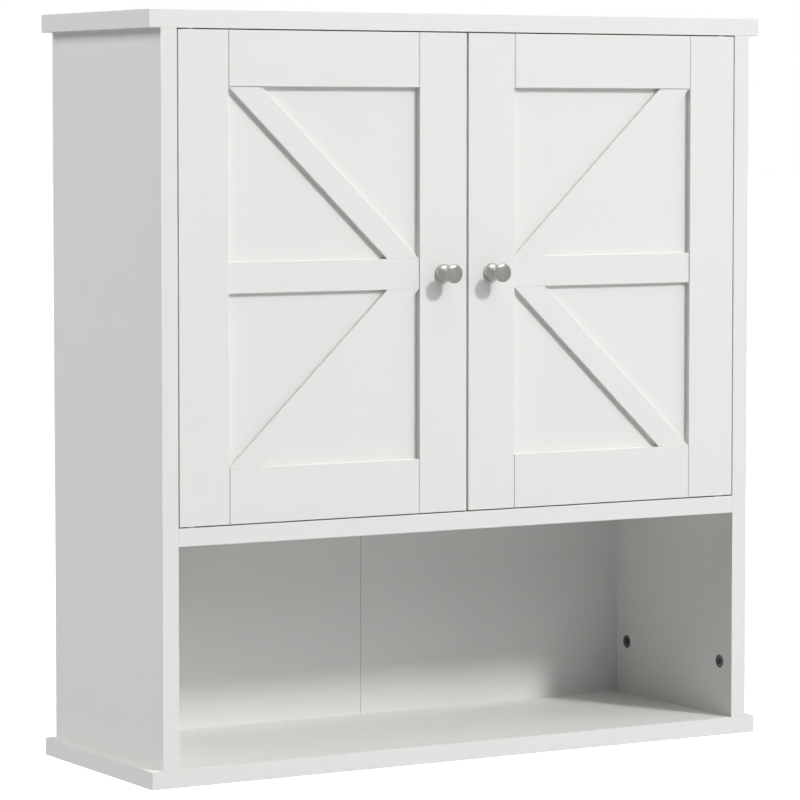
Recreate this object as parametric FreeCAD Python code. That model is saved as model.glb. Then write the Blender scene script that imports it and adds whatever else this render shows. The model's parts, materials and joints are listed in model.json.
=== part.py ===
import FreeCAD, Part
import math
import os

# Wall-hung storage cabinet: an open cubby below and a cupboard above, shut by two inset doors.
# Each door is a frame with a thin panel, a middle bar and two slanting braces that point at the knob.
# Axes: +X to the right as seen from the front, +Y towards the wall, +Z up. All sizes are millimetres.
# Origin: on the wall plane, midway between the two wall-screw holes.

# ---------------------------------------------------------------- driving dimensions
# Carcass
WIDTH = 600.0               # top and bottom panels, end to end
DEPTH = 205.0               # wall to the front edges and the door faces
HEIGHT = 635.0              # underside of the bottom panel to the top of the top panel
BOARD = 15.0                # thickness of every carcass board
SIDE_INSET = 10.0           # side panels stand this far in from the ends of top and bottom
CUBBY_HEIGHT = 183.0        # clear height of the open cubby
EDGE_ROUND = 0.4            # small rounding where two visible faces of a board meet

# Back boards, in a groove round the carcass, and the rail behind them
BACK_THICK = 3.0
RAIL_THICK = 18.0           # the rail fills the space between the back boards and the wall
RAIL_HIGH = 60.0
GROOVE_DEEP = 5.0
GROOVE_SLACK = 0.5          # from a back board's edge to the bottom of its groove
SEAM = 0.4                  # gap between the two leaves of the back
JOINT_STRIP_WIDE = 24.0     # strip that holds the two leaves together from behind
JOINT_STRIP_THICK = 0.6
WALL_HOLE_SPACING = 400.0
WALL_HOLE_R = 3.0

# Cam fittings: a cam in one board draws a bolt that is screwed into the other
CAM_R = 6.0
CAM_DEEP = 11.0             # of the cam and of its hole
CAM_SLACK = 0.1             # all round the cam
CAM_FROM_END = 48.0         # cam centre to the end of its board
CAM_FROM_FRONT = 18.5
CAM_FROM_WALL = 37.3
CAM_CROSS = 7.0             # length of each arm of the driver recess
CAM_CROSS_WIDE = 1.5
CAM_CROSS_DEEP = 3.0
CAM_RIM = 1.0               # raised ring round the driver recess
CAM_RIM_DEEP = 0.5
CAM_MOUTH_R = 4.2           # opening in the cam's wall that takes the bolt's head
BOLT_R = 2.5
BOLT_HEAD_R = 3.5
BOLT_HEAD_LONG = 3.0
BOLT_HEAD_SHORT_OF = 1.0    # bolt's tip stops this far from the cam's axis
BOLT_HOLE_R = 4.0
BOLT_SCREW_R = 3.5          # screwed end of the bolt
BOLT_SCREW_LONG = 10.0

# Dowels
DOWEL_R = 4.0
DOWEL_LONG = 30.0
DOWEL_IN_FACE = 10.0        # the rest sits in the other board's end
DOWEL_FROM_CAM = 32.0
RAIL_DOWEL_APART = 30.0
DOWEL_CHAMFER = 0.8

# Adjustable shelf on four pins
SHELF_SETBACK = 38.0        # from the cabinet's front, clear of the doors' turning edges
SHELF_SIDE_GAP = 1.0
SHELF_BACK_GAP = 2.0
SHELF_ABOVE_FLOOR = 200.0   # cupboard floor to the shelf's underside
PIN_R = 2.5
PIN_IN_BOARD = 9.0
PIN_OUT = 8.0
PIN_COLLAR_R = 4.0
PIN_COLLAR_THICK = 1.5
PIN_SLACK = 0.05
PIN_HOLE_DEEP = 10.0
PIN_PITCH = 32.0
PIN_ROWS = 5                # holes in each upright row, the middle one in use
PIN_FROM_SHELF_EDGE = 28.0

# Doors
DOOR_GAP = 1.0              # to the side, above and below
CENTRE_GAP = 2.0
DOOR_THICK = 15.0
FRAME_WIDE = 46.0           # stiles and rails
PANEL_THICK = 5.0
PANEL_RECESS = 5.0          # frame face to panel face
PANEL_GROOVE_DEEP = 8.0
PANEL_SLACK = 1.0           # panel edge to the bottom of its groove
BATTEN_RECESS = 1.0         # frame face to the face of the bar and braces
BAR_WIDE = 26.0
BRACE_CUT = 31.0            # length of each brace's level end

# Knobs: turned, domed foot, short neck, lens-shaped head
KNOB_FOOT_R = 7.8
KNOB_FOOT_EDGE = 1.0        # straight rim of the foot
KNOB_FOOT_DOME = 6.0        # full height of the dome above the rim, before the neck cuts it
KNOB_NECK_R = 3.0
KNOB_HEAD_R = 8.15
KNOB_HEAD_AT = 17.7         # door's face to the head's widest place
KNOB_HEAD_REAR = 3.0        # full half-thickness behind the widest place
KNOB_HEAD_FRONT = 4.2       # widest place to the crown
KNOB_TIP_R = 0.4            # tiny flat left at the crown by the lathe
KNOB_BORE_R = 2.0
KNOB_BORE_DEEP = 12.0
KNOB_SCREW_HEAD_R = 3.8
KNOB_SCREW_HEAD_HIGH = 2.2
KNOB_SCREW_IN_KNOB = 9.0
SCREW_SLACK = 0.1

# Pivots: a pin on a plate in the door's end turns in a socket plate in the board above or below
PIVOT_FROM_EDGE = 12.0      # pin's axis to the door's hinge edge
PIVOT_FROM_FACE = 5.0       # pin's axis to the door's face
PIVOT_R = 2.5
PIVOT_SLACK = 0.05
PIVOT_PIN_LONG = 6.0        # beyond the gap
PIVOT_COLLAR_R = 4.0
PIVOT_COLLAR_SLACK = 0.05
PIVOT_SOCKET_DEEP = 9.0     # clearance hole in the board behind the socket plate
PLATE_WIDE = 9.0
PLATE_THICK = 2.0
PLATE_END = 6.0             # plate's end to the pin's axis
PLATE_FRONT = 3.6           # plate's front edge to the pin's axis
PLATE_SPARE = 2.0           # plate's other end to the stile's groove
PLATE_SCREW_FROM_PIN = 9.0
PLATE_SCREW_FROM_END = 5.0
PLATE_SCREW_R = 1.5
PLATE_SCREW_HEAD_R = 2.9
PLATE_SCREW_HEAD_HIGH = 1.4
PLATE_SCREW_LONG = 12.0

# Magnetic catch under the top panel, one steel plate on each door
CATCH_WIDE = 56.0
CATCH_HIGH = 14.0
CATCH_DEEP = 16.0
CATCH_GAP = 0.4             # magnet face to strike plate
MAGNET_WIDE = 16.0
MAGNET_HIGH = 6.0
MAGNET_DEEP = 6.0
MAGNET_PROUD = 0.3
MAGNET_FROM_CENTRE = 15.0
CATCH_SCREW_FROM_CENTRE = 0.0
CATCH_SCREW_R = 1.75
CATCH_SCREW_HEAD_R = 3.4
CATCH_SCREW_HEAD_HIGH = 2.0
CATCH_SCREW_IN_BOARD = 10.0
STRIKE_WIDE = 20.0
STRIKE_HIGH = 12.0
STRIKE_THICK = 1.0
STRIKE_SPIKE_R = 1.25
STRIKE_SPIKE_LONG = 7.0

# ---------------------------------------------------------------- worked-out positions
Z_TOP = BOARD + RAIL_HIGH / 2
Z_TOP_UNDER = Z_TOP - BOARD
Z_BOTTOM = Z_TOP - HEIGHT
Z_CUBBY_FLOOR = Z_BOTTOM + BOARD
Z_CUBBY_TOP = Z_CUBBY_FLOOR + CUBBY_HEIGHT
Z_FLOOR = Z_CUBBY_TOP + BOARD             # floor of the cupboard
X_SIDE_OUT = WIDTH / 2 - SIDE_INSET
X_SIDE_IN = X_SIDE_OUT - BOARD
X_SIDE_MID = X_SIDE_OUT - BOARD / 2
Y_FRONT = -DEPTH
Y_BACK_REAR = -RAIL_THICK
Y_BACK_FACE = Y_BACK_REAR - BACK_THICK
Y_DOOR_REAR = Y_FRONT + DOOR_THICK
Y_PANEL_FACE = Y_FRONT + PANEL_RECESS
Y_BATTEN_FACE = Y_FRONT + BATTEN_RECESS
CAM_ROWS = (-CAM_FROM_WALL, Y_FRONT + CAM_FROM_FRONT)
DOWEL_ROWS = (-CAM_FROM_WALL - DOWEL_FROM_CAM, Y_FRONT + CAM_FROM_FRONT + DOWEL_FROM_CAM)

# The left door, hinged on its left edge
X_EDGE = -X_SIDE_IN + DOOR_GAP
X_FREE = -CENTRE_GAP / 2
Z_DOOR_LOW = Z_FLOOR + DOOR_GAP
Z_DOOR_HIGH = Z_TOP_UNDER - DOOR_GAP
Z_DOOR_MID = (Z_DOOR_LOW + Z_DOOR_HIGH) / 2
X_OPEN_OUT = X_EDGE + FRAME_WIDE          # the opening inside the frame
X_OPEN_IN = X_FREE - FRAME_WIDE
Z_OPEN_LOW = Z_DOOR_LOW + FRAME_WIDE
Z_OPEN_HIGH = Z_DOOR_HIGH - FRAME_WIDE
Z_BAR_LOW = Z_DOOR_MID - BAR_WIDE / 2
Z_BAR_HIGH = Z_DOOR_MID + BAR_WIDE / 2
X_KNOB = X_FREE - FRAME_WIDE / 2
X_PIVOT = X_EDGE + PIVOT_FROM_EDGE
Y_PIVOT = Y_FRONT + PIVOT_FROM_FACE
X_PLATE = (X_PIVOT - PLATE_END, X_OPEN_OUT - PANEL_GROOVE_DEEP - PLATE_SPARE)
Y_PLATE = (Y_PIVOT - PLATE_FRONT, Y_PIVOT - PLATE_FRONT + PLATE_WIDE)
PLATE_SCREWS = (X_PIVOT + PLATE_SCREW_FROM_PIN, X_PLATE[1] - PLATE_SCREW_FROM_END)

# The adjustable shelf
Z_SHELF_UNDER = Z_FLOOR + SHELF_ABOVE_FLOOR
Y_SHELF_FRONT = Y_FRONT + SHELF_SETBACK
Y_SHELF_REAR = Y_BACK_FACE - SHELF_BACK_GAP
PIN_COLUMNS = (Y_SHELF_REAR - PIN_FROM_SHELF_EDGE, Y_SHELF_FRONT + PIN_FROM_SHELF_EDGE)
Z_PIN = Z_SHELF_UNDER - PIN_R

ALONG_X = FreeCAD.Vector(1, 0, 0)
ALONG_Y = FreeCAD.Vector(0, 1, 0)
ALONG_Z = FreeCAD.Vector(0, 0, 1)
NOTHING = 1e-6              # two places closer than this are the same
THROUGH = 1.0               # how far a cutter runs past a face it has to break


# ---------------------------------------------------------------- shapes used by many parts
def block(x_span, y_span, z_span):
    """A box from three (low, high) spans."""
    low = FreeCAD.Vector(x_span[0], y_span[0], z_span[0])
    return Part.makeBox(x_span[1] - x_span[0], y_span[1] - y_span[0], z_span[1] - z_span[0], low)


def rod(radius, start, direction, length):
    """A cylinder that starts at a point and runs along a direction."""
    return Part.makeCylinder(radius, length, FreeCAD.Vector(*start), direction)


def board(x_span, y_span, z_span, shown):
    """A board whose edges are rounded wherever two of its shown faces meet."""
    faces = {
        "left": (0, x_span[0]), "right": (0, x_span[1]),
        "front": (1, y_span[0]), "rear": (1, y_span[1]),
        "under": (2, z_span[0]), "over": (2, z_span[1]),
    }
    solid = block(x_span, y_span, z_span)
    visible = []
    for edge in solid.Edges:
        meets = 0
        for name in shown:
            axis, place = faces[name]
            if all(abs(vertex.Point[axis] - place) < NOTHING for vertex in edge.Vertexes):
                meets += 1
        if meets == 2:
            visible.append(edge)
    return solid.makeFillet(EDGE_ROUND, visible)


def slanted_board(corners, y_front, y_rear):
    """A board with a slanting outline of (x, z) corners; the edges of its front face are rounded."""
    points = [FreeCAD.Vector(x, y_front, z) for x, z in corners]
    outline = Part.makePolygon(points + points[:1])
    solid = Part.Face(outline).extrude(ALONG_Y * (y_rear - y_front))
    front = [e for e in solid.Edges if all(abs(v.Point.y - y_front) < NOTHING for v in e.Vertexes)]
    return solid.makeFillet(EDGE_ROUND, front)


def turned(profile, base, direction):
    """A closed profile of lines and quarters, turned round its axis and set on a base point."""
    face = Part.Face(Part.Wire(Part.__sortEdges__(profile)))
    solid = face.revolve(FreeCAD.Vector(), ALONG_Z, 360)
    turn = FreeCAD.Rotation(ALONG_Z, direction)
    solid.Placement = FreeCAD.Placement(FreeCAD.Vector(*base), turn)
    return solid


def line(start, end):
    """A straight edge of a profile between two (radius, height) points."""
    return Part.makeLine(FreeCAD.Vector(start[0], 0, start[1]), FreeCAD.Vector(end[0], 0, end[1]))


def quarter(centre, level, upright, short_of=0.0):
    """A quarter of an ellipse between its level and upright reach, or short of the upright one."""
    middle = FreeCAD.Vector(centre[0], 0, centre[1])
    level_end = middle + ALONG_X * level
    upright_end = middle + ALONG_Z * upright
    left_out = math.asin(short_of / abs(level))
    if abs(level) >= abs(upright):
        ellipse = Part.Ellipse(level_end, upright_end, middle)
        return Part.ArcOfEllipse(ellipse, 0, math.pi / 2 - left_out).toShape()
    ellipse = Part.Ellipse(upright_end, level_end, middle)
    return Part.ArcOfEllipse(ellipse, left_out, math.pi / 2).toShape()


def reach_at(radius, widest_r, full):
    """How far along its axis an elliptic cap still has this radius."""
    return full * math.sqrt(1 - (radius / widest_r) ** 2)


def screw(head_r, head_high, shank_r, length, head_top, direction):
    """A countersunk screw: the flat top of its head is at head_top and its point along direction."""
    head = Part.makeCone(head_r, shank_r, head_high, FreeCAD.Vector(*head_top), direction)
    shank = rod(shank_r, head_top, direction, length)
    return head.fuse(shank).removeSplitter()


def mirrored(solid):
    """The same part on the other side of the cabinet's middle plane."""
    return solid.mirror(FreeCAD.Vector(), ALONG_X)


def both_sides(solids):
    """Every solid together with its mirror image."""
    left = list(solids)
    return left + [mirrored(solid) for solid in left]


def cut_all(solid, cutters):
    """The solid with every cutter taken away."""
    return solid.cut(list(cutters)) if cutters else solid


def together(solids):
    """Separate solids kept in one part file."""
    return Part.makeCompound(list(solids))


# ---------------------------------------------------------------- fittings, made on the left side
def cam_places():
    """Every cam on the left: centre of its face, the way it faces, and the way its bolt runs."""
    places = {"side_low": [], "side_high": [], "shelf": []}
    for y in CAM_ROWS:
        low = (-X_SIDE_IN, y, Z_CUBBY_FLOOR + CAM_FROM_END)
        high = (-X_SIDE_IN, y, Z_TOP_UNDER - CAM_FROM_END)
        flat = (-X_SIDE_IN + CAM_FROM_END, y, Z_CUBBY_TOP)
        places["side_low"].append((low, -ALONG_X, -ALONG_Z))
        places["side_high"].append((high, -ALONG_X, ALONG_Z))
        places["shelf"].append((flat, ALONG_Z, -ALONG_X))
    return places


def moved(point, direction, distance):
    """A point carried along a direction."""
    return tuple(FreeCAD.Vector(*point) + direction * distance)


def cam(face, inward):
    """Cam with a cross recess in its face and a mouth for the bolt's head."""
    body = rod(CAM_R - CAM_SLACK, face, inward, CAM_DEEP)
    rim = rod(CAM_R - CAM_SLACK - CAM_RIM, face, inward, CAM_RIM_DEEP)
    return body.cut(rim)


def cam_recess(face, inward):
    """The driver's cross in a cam's face, turned an eighth of a turn."""
    arms = []
    for quarter in (0, 1):
        half = CAM_CROSS / 2
        arm = Part.makeBox(CAM_CROSS, CAM_CROSS_WIDE, CAM_CROSS_DEEP + CAM_RIM_DEEP + THROUGH,
                           FreeCAD.Vector(-half, -CAM_CROSS_WIDE / 2, -THROUGH))
        arm.rotate(FreeCAD.Vector(), ALONG_Z, 45 + 90 * quarter)
        arms.append(arm)
    cross = arms[0].fuse(arms[1])
    cross.Placement = FreeCAD.Placement(FreeCAD.Vector(*face), FreeCAD.Rotation(ALONG_Z, inward))
    return cross


def bolt_axis_point(face, inward):
    """The point on the cam's own axis where the bolt's line crosses it, at half the board."""
    return moved(face, inward, BOARD / 2)


def bolt(face, inward, along):
    """Bolt from the cam to the other board: head, shank and screwed end, all on one line."""
    start = bolt_axis_point(face, inward)
    tip = moved(start, along, BOLT_HEAD_SHORT_OF)
    head = rod(BOLT_HEAD_R, tip, along, BOLT_HEAD_LONG)
    shank = rod(BOLT_R, tip, along, CAM_FROM_END - BOLT_HEAD_SHORT_OF)
    screwed = rod(BOLT_SCREW_R, moved(start, along, CAM_FROM_END), along, BOLT_SCREW_LONG)
    return head.fuse([shank, screwed]).removeSplitter()


def bolt_mouth(face, inward, along):
    """Space for the bolt's head inside the cam."""
    return rod(CAM_MOUTH_R, bolt_axis_point(face, inward), along, CAM_R + THROUGH)


def finished_cam(face, inward, along):
    """A cam with its recess and its mouth cut."""
    return cut_all(cam(face, inward), [cam_recess(face, inward), bolt_mouth(face, inward, along)])


def cam_cutters(face, inward, along):
    """What a cam and its bolt take out of the board they sit in."""
    return [
        rod(CAM_R, moved(face, inward, -THROUGH), inward, CAM_DEEP + THROUGH),
        rod(BOLT_HOLE_R, bolt_axis_point(face, inward), along, CAM_FROM_END + THROUGH),
    ]


def bolt_socket(face, inward, along):
    """The hole in the other board for the bolt's screwed end."""
    start = moved(bolt_axis_point(face, inward), along, CAM_FROM_END - THROUGH)
    return rod(BOLT_SCREW_R, start, along, BOLT_SCREW_LONG + THROUGH)


def dowel(start, along):
    """A dowel with chamfered ends that starts at the bottom of its hole in the board's face."""
    straight = rod(DOWEL_R, start, along, DOWEL_LONG)
    return straight.makeChamfer(DOWEL_CHAMFER, [e for e in straight.Edges if len(e.Vertexes) == 1])


def dowel_hole(start, along):
    """The hole through two boards that a dowel fills."""
    return rod(DOWEL_R, start, along, DOWEL_LONG)


def dowel_places():
    """Start and direction of every dowel on the left, from the bottom of its shorter hole."""
    places = {"panels": [], "shelf": [], "rail": []}
    for y in DOWEL_ROWS:
        places["panels"].append(((-X_SIDE_MID, y, Z_CUBBY_FLOOR - DOWEL_IN_FACE), ALONG_Z))
        places["panels"].append(((-X_SIDE_MID, y, Z_TOP_UNDER + DOWEL_IN_FACE), -ALONG_Z))
        places["shelf"].append(((-X_SIDE_IN - DOWEL_IN_FACE, y, Z_CUBBY_TOP + BOARD / 2), ALONG_X))
    for z in (-RAIL_DOWEL_APART / 2, RAIL_DOWEL_APART / 2):
        places["rail"].append(((-X_SIDE_IN - DOWEL_IN_FACE, -RAIL_THICK / 2, z), ALONG_X))
    return places


CAMS = cam_places()
DOWELS = dowel_places()


def dowel_holes(name):
    """Holes for one named set of dowels, on both sides."""
    return both_sides(dowel_hole(*place) for place in DOWELS[name])


# ---------------------------------------------------------------- pivots, made on the left side
def plate_blank(z_low):
    """A pivot plate before it is bored, with its lower face at z_low."""
    return block(X_PLATE, Y_PLATE, (z_low, z_low + PLATE_THICK))


def pivot_levels(up):
    """Heights at one pivot: door's end, board's face, and the way from the door to the board."""
    if up:
        return Z_DOOR_HIGH, Z_TOP_UNDER, ALONG_Z
    return Z_DOOR_LOW, Z_FLOOR, -ALONG_Z


def door_plate_body(up):
    """The door's plate before its pin is added, let into the end of the door."""
    end, _, way = pivot_levels(up)
    return plate_blank(end - PLATE_THICK if way.z > 0 else end)


def socket_plate_body(up):
    """The socket plate before it is bored, let into the board's face."""
    _, face, way = pivot_levels(up)
    return plate_blank(face if way.z > 0 else face - PLATE_THICK)


def plate_screws(up, for_door):
    """The two screws of one pivot plate."""
    end, face, way = pivot_levels(up)
    top, into = (end, -way) if for_door else (face, way)
    heads = [(x, sum(Y_PLATE) / 2, top) for x in PLATE_SCREWS]
    sizes = (PLATE_SCREW_HEAD_R, PLATE_SCREW_HEAD_HIGH, PLATE_SCREW_R, PLATE_SCREW_LONG)
    return [screw(*sizes, head, into) for head in heads]


def door_plate(up):
    """Plate, pin and bearing collar in one piece."""
    end, _, way = pivot_levels(up)
    foot = (X_PIVOT, Y_PIVOT, end)
    collar = rod(PIVOT_COLLAR_R, foot, way, DOOR_GAP - PIVOT_COLLAR_SLACK)
    pin = rod(PIVOT_R, foot, way, DOOR_GAP + PIVOT_PIN_LONG)
    plate = door_plate_body(up).fuse([collar, pin]).removeSplitter()
    return cut_all(plate, plate_screws(up, for_door=True))


def socket_bore(up, radius, deep):
    """A round hole in line with a pivot, from the board's face inwards."""
    _, face, way = pivot_levels(up)
    mouth = moved((X_PIVOT, Y_PIVOT, face), way, -THROUGH)
    return rod(radius, mouth, way, deep + THROUGH)


def socket_plate(up):
    """Plate with the hole that the pin turns in."""
    bore = socket_bore(up, PIVOT_R + PIVOT_SLACK, PLATE_THICK + THROUGH)
    return cut_all(socket_plate_body(up), [bore] + plate_screws(up, for_door=False))


def pivot_board_cutters(up):
    """What a socket plate, its screws and the pin's end take out of the board, both sides."""
    bore = socket_bore(up, PIVOT_COLLAR_R, PIVOT_SOCKET_DEEP)
    return both_sides([socket_plate_body(up), bore] + plate_screws(up, for_door=False))


# ---------------------------------------------------------------- magnetic catch
def catch_spans():
    """Spans of the catch's housing in x, y and z."""
    y_front = Y_DOOR_REAR + STRIKE_THICK + CATCH_GAP + MAGNET_PROUD
    half = CATCH_WIDE / 2
    return (-half, half), (y_front, y_front + CATCH_DEEP), (Z_TOP_UNDER - CATCH_HIGH, Z_TOP_UNDER)


def magnet(side):
    """One magnet, standing slightly proud of the housing's face."""
    _, (y_front, _), (z_low, z_high) = catch_spans()
    x_mid = side * MAGNET_FROM_CENTRE
    z_mid = (z_low + z_high) / 2
    return block((x_mid - MAGNET_WIDE / 2, x_mid + MAGNET_WIDE / 2),
                 (y_front - MAGNET_PROUD, y_front - MAGNET_PROUD + MAGNET_DEEP),
                 (z_mid - MAGNET_HIGH / 2, z_mid + MAGNET_HIGH / 2))


def catch_screw():
    """The screw that holds the catch up to the top panel."""
    _, (y_front, y_rear), (z_low, z_high) = catch_spans()
    head = (CATCH_SCREW_FROM_CENTRE, (y_front + MAGNET_DEEP + y_rear) / 2, z_low)
    length = z_high - z_low + CATCH_SCREW_IN_BOARD
    return screw(CATCH_SCREW_HEAD_R, CATCH_SCREW_HEAD_HIGH, CATCH_SCREW_R, length, head, ALONG_Z)


def catch_housing():
    """Moulded housing with a pocket for each magnet."""
    x_span, y_span, z_span = catch_spans()
    body = board(x_span, y_span, z_span, ("left", "right", "front", "rear", "under"))
    return cut_all(body, [magnet(-1), magnet(1), catch_screw()])


def strike_plate():
    """Steel plate on the left door's rear face, with its spike."""
    _, _, (z_low, z_high) = catch_spans()
    x_mid = -MAGNET_FROM_CENTRE
    z_mid = (z_low + z_high) / 2
    plate = block((x_mid - STRIKE_WIDE / 2, x_mid + STRIKE_WIDE / 2),
                  (Y_DOOR_REAR, Y_DOOR_REAR + STRIKE_THICK),
                  (z_mid - STRIKE_HIGH / 2, z_mid + STRIKE_HIGH / 2))
    return plate.fuse(strike_spike()).removeSplitter()


def strike_spike():
    """The spike that fixes the strike plate to the door."""
    _, _, (z_low, z_high) = catch_spans()
    start = (-MAGNET_FROM_CENTRE, Y_DOOR_REAR, (z_low + z_high) / 2)
    return rod(STRIKE_SPIKE_R, start, -ALONG_Y, STRIKE_SPIKE_LONG)


# ---------------------------------------------------------------- carcass
def back_groove():
    """The space of the back boards and their slack, as one cutter for all the boards round them."""
    x_half = X_SIDE_IN + GROOVE_DEEP
    z_span = (Z_CUBBY_FLOOR - GROOVE_DEEP, Z_TOP_UNDER + GROOVE_DEEP)
    return block((-x_half, x_half), (Y_BACK_FACE, Y_BACK_REAR), z_span)


def end_panel(z_low, z_high, cam_name, up):
    """Top or bottom panel, with its groove, bolt sockets and dowel holes."""
    half = WIDTH / 2
    shown = ("left", "right", "front", "under", "over")
    panel = board((-half, half), (Y_FRONT, 0), (z_low, z_high), shown)
    cutters = [back_groove()] + dowel_holes("panels")
    cutters += both_sides(bolt_socket(*place) for place in CAMS[cam_name])
    if up:
        cutters += pivot_board_cutters(up) + [catch_screw()]
    return cut_all(panel, cutters)


def pin_holes():
    """Shelf-pin holes in the left side panel."""
    middle = (PIN_ROWS - 1) / 2
    holes = []
    for y in PIN_COLUMNS:
        for row in range(PIN_ROWS):
            start = (-X_SIDE_IN + THROUGH, y, Z_PIN + (row - middle) * PIN_PITCH)
            holes.append(rod(PIN_R + PIN_SLACK, start, -ALONG_X, PIN_HOLE_DEEP + THROUGH))
    return holes


def left_side_panel():
    """Side panel between top and bottom, with every hole and the groove for the back."""
    panel = board((-X_SIDE_OUT, -X_SIDE_IN), (Y_FRONT, 0), (Z_CUBBY_FLOOR, Z_TOP_UNDER),
                  ("left", "right", "front"))
    cutters = [back_groove()] + pin_holes()
    for place in CAMS["side_low"] + CAMS["side_high"]:
        cutters += cam_cutters(*place)
    cutters += [bolt_socket(*place) for place in CAMS["shelf"]]
    for name in DOWELS:
        cutters += [dowel_hole(*place) for place in DOWELS[name]]
    return cut_all(panel, cutters)


def middle_shelf():
    """Fixed shelf: roof of the cubby and floor of the cupboard."""
    shelf = board((-X_SIDE_IN, X_SIDE_IN), (Y_FRONT, Y_BACK_FACE), (Z_CUBBY_TOP, Z_FLOOR),
                  ("front", "under", "over"))
    cutters = dowel_holes("shelf") + pivot_board_cutters(up=False)
    for place in CAMS["shelf"]:
        cutters += both_sides(cam_cutters(*place))
    return cut_all(shelf, cutters)


def wall_holes():
    """The two wall-screw holes, through the rail and the back boards."""
    length = RAIL_THICK + BACK_THICK + 2 * THROUGH
    spots = (-WALL_HOLE_SPACING / 2, WALL_HOLE_SPACING / 2)
    return [rod(WALL_HOLE_R, (x, THROUGH, 0), -ALONG_Y, length) for x in spots]


def back_panel_left():
    """Left leaf of the back, from its groove to the seam."""
    x_low = -X_SIDE_IN - GROOVE_DEEP + GROOVE_SLACK
    z_low = Z_CUBBY_FLOOR - GROOVE_DEEP + GROOVE_SLACK
    z_high = Z_TOP_UNDER + GROOVE_DEEP - GROOVE_SLACK
    leaf = block((x_low, -SEAM / 2), (Y_BACK_FACE, Y_BACK_REAR), (z_low, z_high))
    return cut_all(leaf, wall_holes())


def back_joint_strip():
    """Thin strip glued behind the seam, from the bottom panel up to the rail."""
    half = JOINT_STRIP_WIDE / 2
    y_span = (Y_BACK_REAR, Y_BACK_REAR + JOINT_STRIP_THICK)
    return block((-half, half), y_span, (Z_CUBBY_FLOOR, Z_TOP_UNDER - RAIL_HIGH))


def hanging_rail():
    """Rail between the side panels, behind the back boards and under the top panel."""
    rail = block((-X_SIDE_IN, X_SIDE_IN), (-RAIL_THICK, 0), (Z_TOP_UNDER - RAIL_HIGH, Z_TOP_UNDER))
    return cut_all(rail, wall_holes() + dowel_holes("rail"))


def adjustable_shelf():
    """Loose shelf that rests on the four pins."""
    half = X_SIDE_IN - SHELF_SIDE_GAP
    span = (Z_SHELF_UNDER, Z_SHELF_UNDER + BOARD)
    return board((-half, half), (Y_SHELF_FRONT, Y_SHELF_REAR), span, ("front", "under", "over"))


def shelf_pin(y):
    """Pin in the left side panel: shank, collar against the board, and peg under the shelf."""
    start = (-X_SIDE_IN - PIN_IN_BOARD, y, Z_PIN)
    peg = rod(PIN_R, start, ALONG_X, PIN_IN_BOARD + PIN_OUT)
    collar = rod(PIN_COLLAR_R, (-X_SIDE_IN, y, Z_PIN), ALONG_X, SHELF_SIDE_GAP)
    return peg.fuse(collar).removeSplitter()


# ---------------------------------------------------------------- the left door
def panel_groove():
    """The space of the door's panel and its slack, as one cutter for the whole frame."""
    deep = PANEL_GROOVE_DEEP
    x_span = (X_OPEN_OUT - deep, X_OPEN_IN + deep)
    z_span = (Z_OPEN_LOW - deep, Z_OPEN_HIGH + deep)
    return block(x_span, (Y_PANEL_FACE, Y_PANEL_FACE + PANEL_THICK), z_span)


def stile(x_span, cutters):
    """Upright member of the frame, grooved for the panel and for the rails' tongues."""
    solid = board(x_span, (Y_FRONT, Y_DOOR_REAR), (Z_DOOR_LOW, Z_DOOR_HIGH),
                  ("left", "right", "front", "rear", "under", "over"))
    deep = PANEL_GROOVE_DEEP
    tongue_space = block((X_OPEN_OUT - deep, X_OPEN_IN + deep),
                         (Y_PANEL_FACE, Y_PANEL_FACE + PANEL_THICK), (Z_DOOR_LOW, Z_DOOR_HIGH))
    return cut_all(solid, [tongue_space] + cutters)


def outer_stile():
    """Stile on the hinge side, cut for both pivot plates."""
    cutters = []
    for up in (False, True):
        cutters += [door_plate_body(up)] + plate_screws(up, for_door=True)
    return stile((X_EDGE, X_OPEN_OUT), cutters)


def knob_screw_hole():
    """Hole through the stile for the knob's screw."""
    start = (X_KNOB, Y_FRONT - THROUGH, Z_DOOR_MID)
    return rod(KNOB_BORE_R + SCREW_SLACK, start, ALONG_Y, DOOR_THICK + 2 * THROUGH)


def inner_stile():
    """Stile on the free side, bored for the knob and the strike plate's spike."""
    return stile((X_OPEN_IN, X_FREE), [knob_screw_hole(), strike_spike()])


def rail(z_span):
    """Level member of the frame, with a tongue at each end."""
    solid = board((X_OPEN_OUT, X_OPEN_IN), (Y_FRONT, Y_DOOR_REAR), z_span,
                  ("left", "right", "front", "rear", "under", "over"))
    reach = PANEL_GROOVE_DEEP - PANEL_SLACK
    y_span = (Y_PANEL_FACE, Y_PANEL_FACE + PANEL_THICK)
    tongue = block((X_OPEN_OUT - reach, X_OPEN_IN + reach), y_span, z_span)
    return solid.fuse(tongue).removeSplitter().cut(panel_groove())


def door_panel():
    """Thin panel held in the grooves of the frame."""
    reach = PANEL_GROOVE_DEEP - PANEL_SLACK
    return block((X_OPEN_OUT - reach, X_OPEN_IN + reach),
                 (Y_PANEL_FACE, Y_PANEL_FACE + PANEL_THICK),
                 (Z_OPEN_LOW - reach, Z_OPEN_HIGH + reach))


def middle_bar():
    """Level batten across the panel at the height of the knob."""
    corners = [(X_OPEN_OUT, Z_BAR_LOW), (X_OPEN_IN, Z_BAR_LOW),
               (X_OPEN_IN, Z_BAR_HIGH), (X_OPEN_OUT, Z_BAR_HIGH)]
    return slanted_board(corners, Y_BATTEN_FACE, Y_PANEL_FACE)


def brace(z_outer, z_inner):
    """Slanting batten from the hinge-side corner of the opening to the knob end of the bar."""
    corners = [(X_OPEN_OUT, z_outer), (X_OPEN_OUT + BRACE_CUT, z_outer),
               (X_OPEN_IN, z_inner), (X_OPEN_IN - BRACE_CUT, z_inner)]
    return slanted_board(corners, Y_BATTEN_FACE, Y_PANEL_FACE)


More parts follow.
